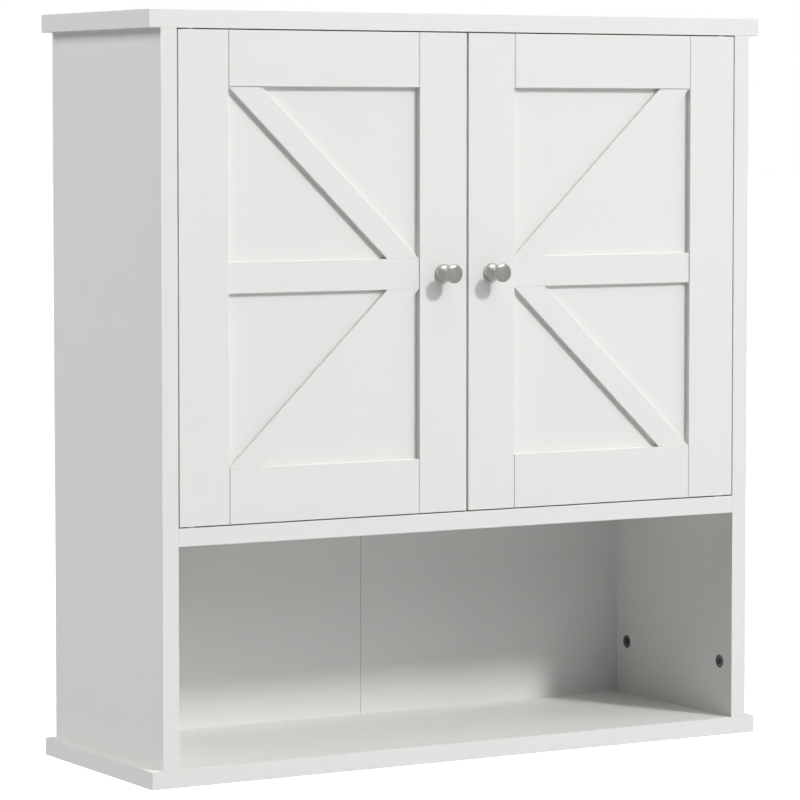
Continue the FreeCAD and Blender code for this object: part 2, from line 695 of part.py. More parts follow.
def knob():
    """Turned knob on the face of the inner stile, bored for its screw."""
    neck_low = KNOB_FOOT_EDGE + reach_at(KNOB_NECK_R, KNOB_FOOT_R, KNOB_FOOT_DOME)
    neck_high = KNOB_HEAD_AT - reach_at(KNOB_NECK_R, KNOB_HEAD_R, KNOB_HEAD_REAR)
    crown = KNOB_HEAD_AT + reach_at(KNOB_TIP_R, KNOB_HEAD_R, KNOB_HEAD_FRONT)
    profile = [
        line((0, 0), (KNOB_FOOT_R, 0)),
        line((KNOB_FOOT_R, 0), (KNOB_FOOT_R, KNOB_FOOT_EDGE)),
        quarter((0, KNOB_FOOT_EDGE), KNOB_FOOT_R, KNOB_FOOT_DOME, short_of=KNOB_NECK_R),
        line((KNOB_NECK_R, neck_low), (KNOB_NECK_R, neck_high)),
        quarter((0, KNOB_HEAD_AT), KNOB_HEAD_R, -KNOB_HEAD_REAR, short_of=KNOB_NECK_R),
        quarter((0, KNOB_HEAD_AT), KNOB_HEAD_R, KNOB_HEAD_FRONT, short_of=KNOB_TIP_R),
        line((KNOB_TIP_R, crown), (0, crown)),
        line((0, crown), (0, 0)),
    ]
    base = (X_KNOB, Y_FRONT, Z_DOOR_MID)
    solid = turned(profile, base, -ALONG_Y)
    return solid.cut(rod(KNOB_BORE_R, base, -ALONG_Y, KNOB_BORE_DEEP))


def knob_screw():
    """Machine screw through the stile into the knob, its head on the door's rear face."""
    seat = (X_KNOB, Y_DOOR_REAR, Z_DOOR_MID)
    head = rod(KNOB_SCREW_HEAD_R, seat, ALONG_Y, KNOB_SCREW_HEAD_HIGH)
    shank = rod(KNOB_BORE_R, seat, -ALONG_Y, DOOR_THICK + KNOB_SCREW_IN_KNOB)
    return head.fuse(shank).removeSplitter()


def left_door():
    """Every part of the left door by its short name."""
    parts = {
        "panel": door_panel(),
        "outer_stile": outer_stile(),
        "inner_stile": inner_stile(),
        "top_rail": rail((Z_OPEN_HIGH, Z_DOOR_HIGH)),
        "bottom_rail": rail((Z_DOOR_LOW, Z_OPEN_LOW)),
        "middle_bar": middle_bar(),
        "upper_brace": brace(Z_OPEN_HIGH, Z_BAR_HIGH),
        "lower_brace": brace(Z_OPEN_LOW, Z_BAR_LOW),
        "knob": knob(),
        "knob_screw": knob_screw(),
        "strike_plate": strike_plate(),
        "top_pivot_plate": door_plate(up=True),
        "bottom_pivot_plate": door_plate(up=False),
    }
    screws = plate_screws(True, for_door=True) + plate_screws(False, for_door=True)
    parts["pivot_screws"] = together(screws)
    return parts


# ---------------------------------------------------------------- all the nodes
def carcass_nodes():
    """Boards of the carcass by node name."""
    side = left_side_panel()
    leaf = back_panel_left()
    return {
        "top_panel": end_panel(Z_TOP_UNDER, Z_TOP, "side_high", up=True),
        "bottom_panel": end_panel(Z_BOTTOM, Z_CUBBY_FLOOR, "side_low", up=False),
        "left_side_panel": side,
        "right_side_panel": mirrored(side),
        "middle_shelf": middle_shelf(),
        "adjustable_shelf": adjustable_shelf(),
        "back_panel_left": leaf,
        "back_panel_right": mirrored(leaf),
        "back_joint_strip": back_joint_strip(),
        "hanging_rail": hanging_rail(),
    }


def fitting_nodes():
    """Cams, bolts, dowels, pins, sockets and the catch by node name."""
    side_cams = [finished_cam(*place) for place in CAMS["side_low"] + CAMS["side_high"]]
    bolts = {name: both_sides(bolt(*place) for place in CAMS[name]) for name in CAMS}
    nodes = {
        "cam_locks_left": together(side_cams),
        "cam_locks_right": together(mirrored(solid) for solid in side_cams),
        "cam_locks_shelf": together(both_sides(finished_cam(*place) for place in CAMS["shelf"])),
        "cam_bolts_top": together(bolts["side_high"]),
        "cam_bolts_bottom": together(bolts["side_low"]),
        "cam_bolts_shelf": together(bolts["shelf"]),
        "catch_housing": catch_housing(),
        "catch_magnets": together([magnet(-1), magnet(1)]),
        "catch_screw": catch_screw(),
    }
    for name, places in DOWELS.items():
        nodes["dowels_" + name] = together(both_sides(dowel(*place) for place in places))
    for number, y in enumerate(PIN_COLUMNS, start=1):
        nodes["shelf_pin_left_%d" % number] = shelf_pin(y)
        nodes["shelf_pin_right_%d" % number] = mirrored(shelf_pin(y))
    sockets = {"top": socket_plate(True), "bottom": socket_plate(False)}
    for end, solid in sockets.items():
        nodes["left_%s_pivot_socket" % end] = solid
        nodes["right_%s_pivot_socket" % end] = mirrored(solid)
    screws = plate_screws(True, for_door=False) + plate_screws(False, for_door=False)
    nodes["pivot_socket_screws"] = together(both_sides(screws))
    return nodes


def door_nodes():
    """Both doors' parts by node name; the right door is the left one mirrored."""
    nodes = {}
    for name, solid in left_door().items():
        nodes["left_door_" + name] = solid
        nodes["right_door_" + name] = mirrored(solid)
    return nodes


def main():
    """Write one STEP file for each node."""
    os.makedirs("parts", exist_ok=True)
    nodes = {**carcass_nodes(), **fitting_nodes(), **door_nodes()}
    for name, shape in nodes.items():
        shape.exportStep("parts/%s.step" % name)
    print(len(nodes), "nodes written")


main()
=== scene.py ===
"""Looks of a wall-hung storage cabinet: paint, metal finishes, turned knobs and screws.

The cabinet has an open cubby below and a cupboard above, shut by two framed doors with slanting braces.
Everything is in metres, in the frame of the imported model: +X right, +Y towards the wall, +Z up.
"""

import json
import logging
import math
from dataclasses import dataclass, replace
from enum import Enum
from typing import Optional, Union

import bpy
import numpy as np
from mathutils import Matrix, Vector

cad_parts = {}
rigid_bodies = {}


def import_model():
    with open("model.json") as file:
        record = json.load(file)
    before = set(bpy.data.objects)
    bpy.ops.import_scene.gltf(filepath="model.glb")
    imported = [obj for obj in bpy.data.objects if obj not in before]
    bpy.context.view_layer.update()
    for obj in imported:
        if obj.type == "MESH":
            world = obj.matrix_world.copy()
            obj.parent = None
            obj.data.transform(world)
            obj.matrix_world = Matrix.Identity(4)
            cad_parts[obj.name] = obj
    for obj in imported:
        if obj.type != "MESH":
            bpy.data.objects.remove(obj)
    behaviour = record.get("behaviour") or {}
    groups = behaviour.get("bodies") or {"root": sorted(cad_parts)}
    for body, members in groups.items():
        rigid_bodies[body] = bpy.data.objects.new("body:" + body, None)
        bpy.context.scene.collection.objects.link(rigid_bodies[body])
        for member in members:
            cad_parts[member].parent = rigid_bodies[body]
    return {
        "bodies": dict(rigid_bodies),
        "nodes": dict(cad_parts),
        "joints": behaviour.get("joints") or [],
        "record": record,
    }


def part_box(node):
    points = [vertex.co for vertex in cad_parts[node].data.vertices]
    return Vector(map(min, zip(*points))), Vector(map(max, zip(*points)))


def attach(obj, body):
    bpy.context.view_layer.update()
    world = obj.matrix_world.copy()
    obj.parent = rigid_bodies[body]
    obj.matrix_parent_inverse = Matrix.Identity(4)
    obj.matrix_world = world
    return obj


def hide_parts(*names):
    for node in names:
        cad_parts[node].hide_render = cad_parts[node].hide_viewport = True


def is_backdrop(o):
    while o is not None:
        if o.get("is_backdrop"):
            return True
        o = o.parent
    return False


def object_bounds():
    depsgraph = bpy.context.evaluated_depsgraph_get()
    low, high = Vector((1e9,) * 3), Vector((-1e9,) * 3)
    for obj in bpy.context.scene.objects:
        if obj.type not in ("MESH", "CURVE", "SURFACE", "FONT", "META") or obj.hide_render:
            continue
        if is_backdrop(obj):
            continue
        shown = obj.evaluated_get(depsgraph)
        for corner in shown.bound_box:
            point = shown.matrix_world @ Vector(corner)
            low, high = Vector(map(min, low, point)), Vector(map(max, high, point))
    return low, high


LOG = logging.getLogger("wall_cabinet")
SIDES = ("left", "right")
SHARP_ANGLE = 35.0    # degrees between two faces from which their edge is sharp
TURNING = "turning"   # attribute that says how far along its outline a turned piece's ring is, from 0 to 1

Colour = tuple[float, float, float]
Point = tuple[float, float, float]
Number = Union[float, "Value"]


# ------------------------------------------------------------------ shader arithmetic
class Value:
    """One number of a shader, which takes part in plain arithmetic."""

    def __init__(self, sheet: "Sheet", socket: bpy.types.NodeSocket) -> None:
        """Wraps a socket of a node sheet."""
        self.sheet = sheet
        self.socket = socket

    def _with(self, operation: str, first: Number, second: Number) -> "Value":
        """Adds one Math node.

        Args:
            operation: the Math node's operation.
            first: its first operand.
            second: its second operand.

        Returns:
            The node's result.
        """
        return self.sheet.node("ShaderNodeMath", {"operation": operation}, {0: first, 1: second})

    def __add__(self, other: Number) -> "Value":
        """self + other."""
        return self._with("ADD", self, other)

    __radd__ = __add__

    def __sub__(self, other: Number) -> "Value":
        """self - other."""
        return self._with("SUBTRACT", self, other)

    def __rsub__(self, other: Number) -> "Value":
        """other - self."""
        return self._with("SUBTRACT", other, self)

    def __mul__(self, other: Number) -> "Value":
        """self * other."""
        return self._with("MULTIPLY", self, other)

    __rmul__ = __mul__

    def unsigned(self) -> "Value":
        """self without its sign."""
        return self.sheet.node("ShaderNodeMath", {"operation": "ABSOLUTE"}, {0: self})

    def clamped(self) -> "Value":
        """self, no less than 0 and no more than 1."""
        return self.sheet.node("ShaderNodeClamp", None, {"Value": self})


class Sheet:
    """A node tree that is written one call to a node."""

    def __init__(self, tree: bpy.types.NodeTree) -> None:
        """Starts an empty tree."""
        self.tree = tree
        tree.nodes.clear()

    def node(self, kind: str, settings: Optional[dict] = None, inputs: Optional[dict] = None,
             output: Union[int, str] = 0) -> Optional[Value]:
        """Adds a node, sets it up and fills its sockets.

        Args:
            kind: the node's type.
            settings: properties of the node, set first.
            inputs: values or links by the sockets' names or numbers.
            output: the socket that is returned.

        Returns:
            The chosen output, or nothing for a node that has none.
        """
        made = self.tree.nodes.new(kind)
        for name, value in (settings or {}).items():
            setattr(made, name, value)
        for name, value in (inputs or {}).items():
            if isinstance(value, Value):
                self.tree.links.new(value.socket, made.inputs[name])
            else:
                made.inputs[name].default_value = value
        return Value(self, made.outputs[output]) if made.outputs else None

    def noise(self, place: Value, scale: float, detail: float = 2.0, roughness: float = 0.5) -> Value:
        """Adds smooth noise.

        Args:
            place: where it is read.
            scale: cycles a metre.
            detail: how many times finer waves are added.
            roughness: weight of the finer waves.

        Returns:
            The noise, from 0 to 1.
        """
        sockets = {"Vector": place, "Scale": scale, "Detail": detail, "Roughness": roughness}
        return self.node("ShaderNodeTexNoise", None, sockets)

    def blend(self, share: Number, first: Union[Colour, Value], second: Union[Colour, Value]) -> Value:
        """Mixes two colours.

        Args:
            share: 0 for the first colour, 1 for the second.
            first: a colour or the output of a node.
            second: a colour or the output of a node.

        Returns:
            The mixed colour.
        """
        sides = [c if isinstance(c, Value) else (*c, 1.0) for c in (first, second)]
        made = self.tree.nodes.new("ShaderNodeMix")
        made.data_type = "RGBA"
        colour_inputs = [s for s in made.inputs if s.type == "RGBA"]
        for socket, side in zip(colour_inputs, sides):
            if isinstance(side, Value):
                self.tree.links.new(side.socket, socket)
            else:
                socket.default_value = side
        factor = made.inputs[0]
        if isinstance(share, Value):
            self.tree.links.new(share.socket, factor)
        else:
            factor.default_value = share
        return Value(self, next(s for s in made.outputs if s.type == "RGBA"))


class Surface(Sheet):
    """A material: a Principled shader whose changing sockets are fed by the sheet."""

    def __init__(self, name: str) -> None:
        """Makes an empty material of that name."""
        self.material = bpy.data.materials.new(name)
        self.material.use_nodes = True
        super().__init__(self.material.node_tree)

    def place(self) -> Value:
        """The shaded point in the cabinet's own frame, in metres."""
        return self.node("ShaderNodeTexCoord", None, None, "Object")

    def stretched(self, place: Value, scales: Point) -> Value:
        """The point with each coordinate multiplied by its own scale."""
        return self.node("ShaderNodeMapping", None, {"Vector": place, "Scale": scales})

    def bump(self, height: Value, depth: float, strength: float = 1.0,
             under: Optional[Value] = None) -> Value:
        """A bumped normal.

        Args:
            height: from 0 to 1.
            depth: what 1 stands for, in metres.
            strength: share of the effect.
            under: a bump that this one is laid over.

        Returns:
            The normal.
        """
        sockets = {"Height": height, "Distance": depth, "Strength": strength}
        if under is not None:
            sockets["Normal"] = under
        return self.node("ShaderNodeBump", None, sockets)

    def finish(self, sockets: dict) -> bpy.types.Material:
        """Ends the sheet with a Principled shader that has these sockets filled.

        Args:
            sockets: values or links by the shader's socket names.

        Returns:
            The finished material.
        """
        shader = self.node("ShaderNodeBsdfPrincipled", None, sockets)
        self.node("ShaderNodeOutputMaterial", None, {"Surface": shader})
        return self.material


# ------------------------------------------------------------------ finishes
@dataclass(frozen=True)
class SatinPaint:
    """Sprayed satin paint: a faint orange peel, slow drift of tone, and fine dust nibs.

    Attributes:
        tone: the paint's main colour.
        drift: the slightly greyer colour that it drifts to.
        sheen_roughness: roughness of the film.
        peel_deep: height of the orange peel in metres.
        peel_fine: waves of the orange peel in a metre.
        nibs_fine: dust nibs in a metre.
        wave_deep: height of the slow waves under the film in metres.
        seams: distances from the cabinet's middle plane at which two painted pieces meet.
        seam_tone: colour of the hairline that shows there.
        seam_wide: half the hairline's width, with its soft edge, in metres.
    """

    tone: Colour = (0.795, 0.79, 0.775)
    drift: Colour = (0.765, 0.76, 0.747)
    sheen_roughness: float = 0.42
    peel_deep: float = 0.00006
    peel_fine: float = 700.0
    nibs_fine: float = 90.0
    wave_deep: float = 0.0004
    seams: tuple[float, ...] = ()
    seam_tone: Colour = (0.34, 0.335, 0.33)
    seam_wide: float = 0.0006

    def _hairlines(self, sheet: Surface, place: Value) -> Value:
        """1 on a hairline and 0 off it: for each seam, 1.5 - |distance from it| / width, kept within 0 and 1.

        Args:
            sheet: where the nodes are added.
            place: the shaded point.

        Returns:
            The share of the hairline's colour.
        """
        from_middle = sheet.node("ShaderNodeSeparateXYZ", None, {"Vector": place}, "X").unsigned()
        total: Number = 0.0
        for seam in self.seams:
            total = total + (1.5 - (from_middle - seam).unsigned() * (1.0 / self.seam_wide)).clamped()
        return total

    def make(self, name: str) -> bpy.types.Material:
        """Builds the paint.

        Args:
            name: the material's name.

        Returns:
            The material.
        """
        sheet = Surface(name)
        place = sheet.place()
        clouds = sheet.noise(place, 5.0, 3.0)
        mottle = sheet.noise(place, 160.0, 2.0)
        peel = sheet.noise(place, self.peel_fine, 2.0, 0.45)
        sockets = {"Vector": place, "Scale": self.nibs_fine}
        to_nib = sheet.node("ShaderNodeTexVoronoi", {"feature": "F1"}, sockets)
        nib = (1.0 - to_nib * 9.0).clamped()
        share = clouds * 0.75 + mottle * 0.25
        waves = sheet.bump(sheet.noise(place, 22.0, 1.0), self.wave_deep, 0.35)
        rough = mottle * 0.06 + clouds * 0.05 + (self.sheen_roughness - 0.055)
        normal = sheet.bump(peel * 0.85 + nib * 0.15, self.peel_deep, 0.5, waves)
        colour = sheet.blend(share, self.tone, self.drift)
        if self.seams:
            colour = sheet.blend(self._hairlines(sheet, place), colour, self.seam_tone)
        return sheet.finish({
            "Base Color": colour,
            "Roughness": rough,
            "Normal": normal,
            "IOR": 1.45,
        })


@dataclass(frozen=True)
class FacedBoard:
    """Thin hardboard with a white printed face: flatter than paint, with a fibrous ground.

    Attributes:
        tone: the print's main colour.
        drift: the slightly greyer colour that it drifts to.
        fibres: how many fibres a metre the ground has along each axis.
        fibre_deep: height of a fibre in metres.
    """

    tone: Colour = (0.77, 0.765, 0.755)
    drift: Colour = (0.735, 0.73, 0.72)
    fibres: Point = (900.0, 900.0, 260.0)
    fibre_deep: float = 0.00005

    def make(self, name: str) -> bpy.types.Material:
        """Builds the board's face.

        Args:
            name: the material's name.

        Returns:
            The material.
        """
        sheet = Surface(name)
        place = sheet.place()
        fibres = sheet.noise(sheet.stretched(place, self.fibres), 1.0, 3.0, 0.6)
        clouds = sheet.noise(place, 7.0, 3.0)
        return sheet.finish({
            "Base Color": sheet.blend(clouds * 0.7 + fibres * 0.3, self.tone, self.drift),
            "Roughness": fibres * 0.10 + 0.50,
            "Normal": sheet.bump(fibres, self.fibre_deep, 0.4),
        })


@dataclass(frozen=True)
class Metal:
    """A bare or plated metal with fine scratches and a slow change of tone.

    Attributes:
        tone: colour of the clean metal.
        dull: colour where it is duller.
        roughness: of the clean metal.
        grain: fineness of the surface in cycles a metre.
        grain_deep: height of the grain in metres.
    """

    tone: Colour
    dull: Colour
    roughness: float
    grain: float
    grain_deep: float

    def make(self, name: str) -> bpy.types.Material:
        """Builds the metal.

        Args:
            name: the material's name.

        Returns:
            The material.
        """
        sheet = Surface(name)
        place = sheet.place()
        clouds = sheet.noise(place, 120.0, 3.0)
        grain = sheet.noise(place, self.grain, 3.0, 0.6)
        return sheet.finish({
            "Base Color": sheet.blend(clouds * 0.6 + grain * 0.4, self.tone, self.dull),
            "Metallic": 1.0,
            "Roughness": grain * 0.14 + (self.roughness - 0.07),
            "Normal": sheet.bump(grain, self.grain_deep, 0.5),
        })


@dataclass(frozen=True)
class TurnedNickel:
    """Satin nickel on a turned knob: fine rings from the lathe, read from the mesh's own attribute.

    Attributes:
        tone: colour of the clean metal.
        dull: colour where it is duller.
        roughness: of the clean metal.
        rings: the lathe's rings as radians over the whole outline.
        ring_deep: height of the rings and the grain in metres.
    """

    tone: Colour = (0.60, 0.59, 0.555)
    dull: Colour = (0.52, 0.51, 0.48)
    roughness: float = 0.30
    rings: float = 260.0
    ring_deep: float = 0.000012

    def make(self, name: str) -> bpy.types.Material:
        """Builds the nickel.

        Args:
            name: the material's name.

        Returns:
            The material.
        """
        sheet = Surface(name)
        place = sheet.place()
        along = sheet.node("ShaderNodeAttribute", {"attribute_name": TURNING}, None, "Fac")
        clouds = sheet.noise(place, 260.0, 3.0)
        wave = sheet.node("ShaderNodeMath", {"operation": "SINE"}, {0: along * self.rings})
        grain = sheet.noise(place, 2600.0, 2.0)
        height = wave * 0.2 + grain * 0.6 + 0.2
        return sheet.finish({
            "Base Color": sheet.blend(clouds, self.tone, self.dull),
            "Metallic": 1.0,
            "Roughness": clouds * 0.08 + grain * 0.05 + (self.roughness - 0.06),
            "Normal": sheet.bump(height, self.ring_deep, 0.5),
        })


@dataclass(frozen=True)
class RawBeech:
    """Raw beech with short flecks along the grain.

    Attributes:
        tone: colour between the flecks.
        dark: colour of the flecks.
        flecks: how many flecks a metre it has along each axis.
        fleck_deep: height of a fleck in metres.
    """

    tone: Colour = (0.66, 0.48, 0.30)
    dark: Colour = (0.50, 0.34, 0.20)
    flecks: Point = (1800.0, 1800.0, 300.0)
    fleck_deep: float = 0.0001

    def make(self, name: str) -> bpy.types.Material:
        """Builds the wood.

        Args:
            name: the material's name.

        Returns:
            The material.
        """
        sheet = Surface(name)
        flecks = sheet.noise(sheet.stretched(sheet.place(), self.flecks), 1.0, 4.0, 0.65)
        return sheet.finish({
            "Base Color": sheet.blend(flecks, self.tone, self.dark),
            "Roughness": flecks * 0.2 + 0.6,
            "Normal": sheet.bump(flecks, self.fleck_deep, 0.6),
        })


@dataclass(frozen=True)
class Moulding:
    """Injection-moulded plastic with a spark-eroded texture.

    Attributes:
        tone: the plastic's main colour.
        drift: the colour that it drifts to.
        roughness: of the surface.
        texture_fine: waves of the texture in a metre.
        texture_deep: height of the texture in metres.
    """

    tone: Colour
    drift: Colour
    roughness: float = 0.45
    texture_fine: float = 2200.0
    texture_deep: float = 0.00003

    def make(self, name: str) -> bpy.types.Material:
        """Builds the plastic.

        Args:
            name: the material's name.

        Returns:
            The material.
        """
        sheet = Surface(name)
        place = sheet.place()
        texture = sheet.noise(place, self.texture_fine, 2.0, 0.6)
        clouds = sheet.noise(place, 40.0, 2.0)
        return sheet.finish({
            "Base Color": sheet.blend(clouds, self.tone, self.drift),
            "Roughness": texture * 0.12 + (self.roughness - 0.06),
            "Normal": sheet.bump(texture, self.texture_deep, 0.5),
        })


class Finish(Enum):
    """Every finish of the cabinet, by the record's material slot."""

    PAINTED_BOARD = ("painted_board", SatinPaint())
    DOOR_PAINT = ("door_paint", SatinPaint(sheen_roughness=0.40))
    BACK_BOARD = ("back_board", FacedBoard())
    ZINC = ("zinc", Metal(tone=(0.23, 0.23, 0.235), dull=(0.15, 0.15, 0.155), roughness=0.48,
                          grain=1800.0, grain_deep=0.00004))
    PLATED_STEEL = ("plated_steel", Metal(tone=(0.62, 0.63, 0.65), dull=(0.50, 0.51, 0.53), roughness=0.30,
                                          grain=1500.0, grain_deep=0.00002))
    NICKEL = ("nickel", TurnedNickel())
    BEECH = ("beech", RawBeech())
    MOULDING = ("moulding", Moulding(tone=(0.83, 0.83, 0.82), drift=(0.79, 0.79, 0.78)))
    MAGNET = ("magnet", Moulding(tone=(0.05, 0.05, 0.055), drift=(0.035, 0.035, 0.04), roughness=0.60))

    @property
    def slot(self) -> str:
        """The record's material slot."""
        return self.value[0]


class PaintShop:
    """Makes each finish once and hands it out."""

    def __init__(self) -> None:
        """Starts with nothing mixed."""
        self._made: dict[Finish, bpy.types.Material] = {}

    def get(self, finish: Finish) -> bpy.types.Material:
        """The material of a finish, made when first asked for."""
        if finish not in self._made:
            self._made[finish] = finish.value[1].make(finish.slot)
        return self._made[finish]

    def dress(self, thing: bpy.types.Object, finish: Finish) -> None:
        """Gives an object one finish all over."""
        thing.data.materials.clear()
        thing.data.materials.append(self.get(finish))


# ------------------------------------------------------------------ meshes on grids
def show(name: str, mesh: bpy.types.Mesh) -> bpy.types.Object:
    """Puts a mesh into the scene, smooth except where its faces turn sharply.

    Args:
        name: the object's name.
        mesh: the finished mesh.

    Returns:
        The object.
    """
    mesh.polygons.foreach_set("use_smooth", np.ones(len(mesh.polygons), dtype=bool))
    mesh.set_sharp_from_angle(angle=math.radians(SHARP_ANGLE))
    mesh.update()
    thing = bpy.data.objects.new(name, mesh)
    bpy.context.scene.collection.objects.link(thing)
    return thing


@dataclass(frozen=True)
class Axis:
    """The line that a turned piece is made round.

    Attributes:
        base: where the piece's heights start.
        along: unit direction of growing heights.
    """

    base: Point
    along: Point

    def rings(self, radii: np.ndarray, heights: np.ndarray, turns: np.ndarray) -> np.ndarray:
        """Points on rings: base + along * height + (side * cos + up * sin) * radius.

        Args:
            radii: one for each point, as rows of rings.
            heights: one for each point, as rows of rings.
            turns: angle of each column in radians.

        Returns:
            Array of rows x columns x 3.
        """
        along = np.array(self.along, dtype=float)
        side = np.roll(np.abs(along), 1)
        up = np.cross(along, side)
        radial = np.cos(turns)[:, None] * side + np.sin(turns)[:, None] * up
        return np.array(self.base) + heights[..., None] * along + radii[..., None] * radial


class TurnedShell:
    """Closed surfaces of rings, gathered into one mesh."""

    def __init__(self) -> None:
        """Starts empty."""
        self._points: list[np.ndarray] = []
        self._faces: list[list[int]] = []
        self._marks: list[np.ndarray] = []
        self._count = 0

    def add(self, axis: Axis, radii: np.ndarray, heights: np.ndarray,
            marks: Optional[np.ndarray] = None) -> None:
        """Adds one closed surface.

        Rings follow each other from the first pole to the last. Each pole is the mean of its end ring, and a
        fan of triangles closes the surface there. Drawn with the radius to the right and the height up, the
        outside is on the right of the way that the outline goes.

        Args:
            axis: the line that the rings go round.
            radii: rows of rings x columns.
            heights: rows of rings x columns.
            marks: a number for each ring, kept on the mesh.
        """
        rows, columns = radii.shape
        turns = np.arange(columns) * (2 * math.pi / columns)
        rings = axis.rings(radii, heights, turns)
        poles = rings[[0, -1]].mean(axis=1)
        index = np.arange(rows * columns).reshape(rows, columns) + self._count
        beside = np.roll(index, -1, axis=1)
        quads = np.stack([index[:-1], beside[:-1], beside[1:], index[1:]], axis=-1).reshape(-1, 4)
        first = np.full(columns, self._count + rows * columns)
        start = np.stack([first, beside[0], index[0]], axis=-1)
        end = np.stack([index[-1], beside[-1], first + 1], axis=-1)
        self._points += [rings.reshape(-1, 3), poles]
        self._faces += quads.tolist() + start.tolist() + end.tolist()
        if marks is None:
            marks = np.zeros(rows)
        self._marks += [np.repeat(marks, columns), marks[[0, -1]]]
        self._count += rows * columns + 2

    def to_object(self, name: str, attribute: Optional[str] = None) -> bpy.types.Object:
        """Makes the object.

        Args:
            name: the object's name.
            attribute: name under which the rings' marks are kept.

        Returns:
            The object.
        """
        mesh = bpy.data.meshes.new(name)
        mesh.from_pydata(np.concatenate(self._points).tolist(), [], self._faces)
        if attribute:
            kept = mesh.attributes.new(attribute, "FLOAT", "POINT")
            kept.data.foreach_set("value", np.concatenate(self._marks).astype(np.float32))
        return show(name, mesh)


def solid_boxes(node: bpy.types.Object) -> list[tuple[np.ndarray, np.ndarray]]:
    """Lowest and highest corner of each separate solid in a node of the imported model.

    Corners at the same place count as one. Each starts with its own number as a label, and every triangle
    passes the lowest of its three labels on, until nothing changes: one label is left for each solid.

    Args:
        node: the node's object.

    Returns:
        A pair of corners for each solid, sorted by place.
    """
    mesh = node.data
    places = np.empty(len(mesh.vertices) * 3)
    mesh.vertices.foreach_get("co", places)
    places = places.reshape(-1, 3)
    mesh.calc_loop_triangles()
    triangles = np.empty(len(mesh.loop_triangles) * 3, dtype=np.int32)
    mesh.loop_triangles.foreach_get("vertices", triangles)
    corners, number = np.unique(np.round(places, 6), axis=0, return_inverse=True)
    triangles = number.reshape(-1)[triangles].reshape(-1, 3)
    labels = np.arange(len(corners))
    while True:
        passed = labels.copy()
        np.minimum.at(passed, triangles, labels[triangles].min(axis=1)[:, None])
        passed = passed[passed]
        if np.array_equal(passed, labels):
            break
        labels = passed
    groups = [corners[labels == label] for label in np.unique(labels)]
    boxes = [(group.min(axis=0), group.max(axis=0)) for group in groups]
    return sorted(boxes, key=lambda pair: tuple(pair[0]))


# ------------------------------------------------------------------ turned and threaded pieces
@dataclass
class Bench:
    """Where new pieces are dressed and handed to the body that they ride on.

    Attributes:
        frame: the loaded frame.
        shop: where the finishes come from.
    """

    frame: dict
    shop: PaintShop

    def body_of(self, node: str) -> str:
        """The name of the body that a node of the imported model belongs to."""
        bodies = self.frame["record"]["behaviour"]["bodies"]
        return next(body for body, nodes in bodies.items() if node in nodes)

    def hand_over(self, piece: bpy.types.Object, finish: Finish, node: str) -> None:
        """Dresses a piece, lets it ride and puts it in place of a node.

        Args:
            piece: the new piece.
            finish: what it is made of.
            node: the node that it stands for.
        """
        self.shop.dress(piece, finish)
        body = self.body_of(node)
        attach(piece, body)
        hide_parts(node)
        LOG.info("%s: %d faces, rides on %s, stands for %s", piece.name, len(piece.data.polygons), body, node)


